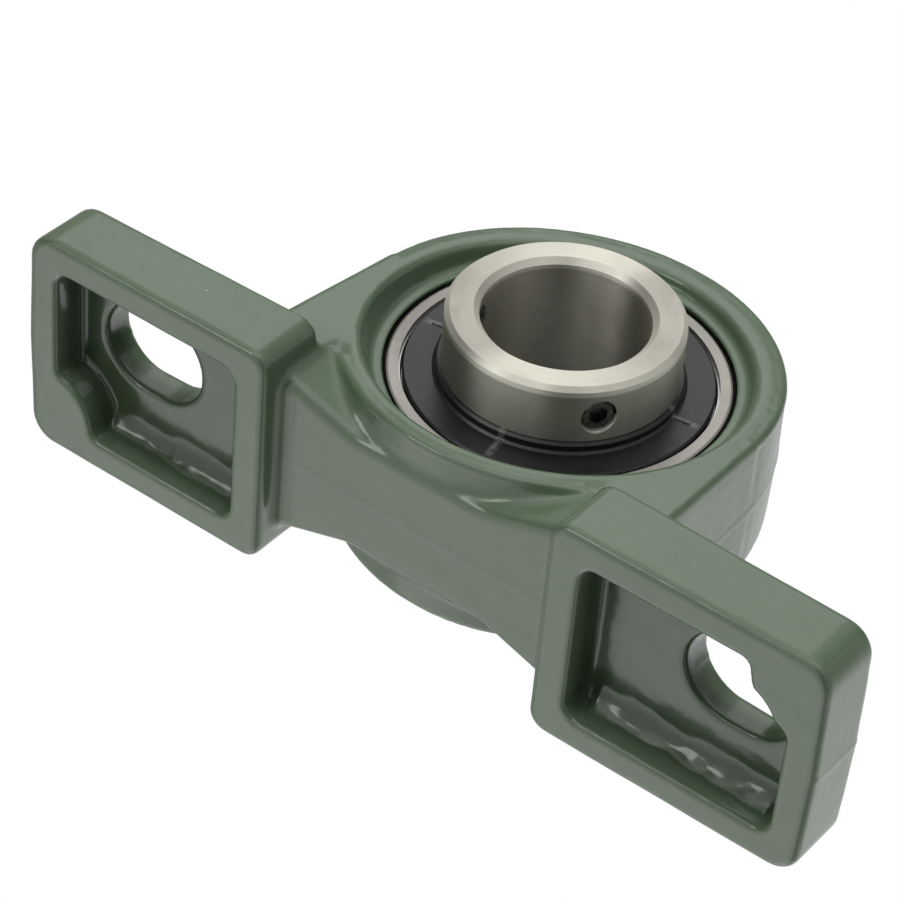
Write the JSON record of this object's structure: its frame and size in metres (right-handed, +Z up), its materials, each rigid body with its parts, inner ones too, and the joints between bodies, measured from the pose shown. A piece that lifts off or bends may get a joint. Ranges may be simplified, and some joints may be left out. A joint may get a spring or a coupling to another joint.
{
  "type": "pillow block bearing",
  "caption": "Cast pillow block housing on two slotted hollow feet, carrying a self-aligning sealed ball bearing insert with set screws for a round shaft",
  "frame": {"origin": "centre of the base, on the base plane", "axes": "+X from foot to foot, +Z up from the base, -Y towards the set-screw side of the shaft"},
  "size_m": [0.1598, 0.0439, 0.0807],
  "materials": {
    "paint": "glossy grey-green enamel over cast iron",
    "ring_steel": "ground bearing steel",
    "black_steel": "satin black coated sheet steel",
    "black_oxide": "black oxide",
    "pressed_steel": "bright pressed steel",
    "ball_steel": "polished bearing steel",
    "steel": "spring wire",
    "zinc": "zinc plated",
    "rubber": "nitrile rubber"
  },
  "bodies": {
    "housing": {"housing": "paint", "grease_nipple": "zinc", "nipple_spring": "steel"},
    "valve": {"nipple_ball": "ball_steel"},
    "outer": {"outer_ring": "ring_steel", "seal_shell_front": "pressed_steel", "seal_shell_back": "pressed_steel", "seal_lip_front": "rubber", "seal_lip_back": "rubber"},
    "inner": {"inner_ring": "ring_steel", "flinger_front": "black_steel", "flinger_back": "black_steel"},
    "screw_1": {"set_screw_1": "black_oxide"},
    "screw_2": {"set_screw_2": "black_oxide"},
    "cage": {"cage_front": "pressed_steel", "cage_back": "pressed_steel", "cage_rivets": "pressed_steel"},
    "ball_1": {"ball_1": "ball_steel"},
    "ball_2": {"ball_2": "ball_steel"},
    "ball_3": {"ball_3": "ball_steel"},
    "ball_4": {"ball_4": "ball_steel"},
    "ball_5": {"ball_5": "ball_steel"},
    "ball_6": {"ball_6": "ball_steel"},
    "ball_7": {"ball_7": "ball_steel"},
    "ball_8": {"ball_8": "ball_steel"},
    "ball_9": {"ball_9": "ball_steel"}
  },
  "joints": [
    {"name": "self_align", "type": "hinge", "parent": "housing", "child": "outer", "pos_m": [0, 0, 0.0429], "axis": [1, 0, 0], "range_deg": [-2, 2]},
    {"name": "inner_spin", "type": "hinge", "parent": "outer", "child": "inner", "pos_m": [0, 0, 0.0429], "axis": [0, -1, 0], "continuous": true},
    {"name": "cage_spin", "type": "hinge", "parent": "outer", "child": "cage", "pos_m": [0, 0, 0.0429], "axis": [0, -1, 0], "continuous": true},
    {"name": "screw_1_travel", "type": "slide", "parent": "inner", "child": "screw_1", "axis": [0.7986, 0, -0.6018], "range_m": [-0.0013, 0.005]},
    {"name": "screw_2_travel", "type": "slide", "parent": "inner", "child": "screw_2", "axis": [-0.9205, 0, -0.3907], "range_m": [-0.0013, 0.005]},
    {"name": "valve_travel", "type": "slide", "parent": "housing", "child": "valve", "axis": [0.7071, 0, -0.7071], "range_m": [0, 0.0005]},
    {"name": "ball_1_spin", "type": "hinge", "parent": "cage", "child": "ball_1", "pos_m": [0, 0, 0.0659], "axis": [0, -1, 0], "continuous": true},
    {"name": "ball_2_spin", "type": "hinge", "parent": "cage", "child": "ball_2", "pos_m": [-0.01478, 0, 0.06052], "axis": [0, -1, 0], "continuous": true},
    {"name": "ball_3_spin", "type": "hinge", "parent": "cage", "child": "ball_3", "pos_m": [-0.02265, 0, 0.04689], "axis": [0, -1, 0], "continuous": true},
    {"name": "ball_4_spin", "type": "hinge", "parent": "cage", "child": "ball_4", "pos_m": [-0.01992, 0, 0.0314], "axis": [0, -1, 0], "continuous": true},
    {"name": "ball_5_spin", "type": "hinge", "parent": "cage", "child": "ball_5", "pos_m": [-0.00787, 0, 0.02129], "axis": [0, -1, 0], "continuous": true},
    {"name": "ball_6_spin", "type": "hinge", "parent": "cage", "child": "ball_6", "pos_m": [0.00787, 0, 0.02129], "axis": [0, -1, 0], "continuous": true},
    {"name": "ball_7_spin", "type": "hinge", "parent": "cage", "child": "ball_7", "pos_m": [0.01992, 0, 0.0314], "axis": [0, -1, 0], "continuous": true},
    {"name": "ball_8_spin", "type": "hinge", "parent": "cage", "child": "ball_8", "pos_m": [0.02265, 0, 0.04689], "axis": [0, -1, 0], "continuous": true},
    {"name": "ball_9_spin", "type": "hinge", "parent": "cage", "child": "ball_9", "pos_m": [0.01478, 0, 0.06052], "axis": [0, -1, 0], "continuous": true}
  ],
  "couplings": [
    {"joint": "cage_spin", "follows": "inner_spin", "ratio": 0.39647},
    {"joint": "ball_1_spin", "follows": "inner_spin", "ratio": -2.3112},
    {"joint": "ball_2_spin", "follows": "inner_spin", "ratio": -2.3112},
    {"joint": "ball_3_spin", "follows": "inner_spin", "ratio": -2.3112},
    {"joint": "ball_4_spin", "follows": "inner_spin", "ratio": -2.3112},
    {"joint": "ball_5_spin", "follows": "inner_spin", "ratio": -2.3112},
    {"joint": "ball_6_spin", "follows": "inner_spin", "ratio": -2.3112},
    {"joint": "ball_7_spin", "follows": "inner_spin", "ratio": -2.3112},
    {"joint": "ball_8_spin", "follows": "inner_spin", "ratio": -2.3112},
    {"joint": "ball_9_spin", "follows": "inner_spin", "ratio": -2.3112}
  ]
}
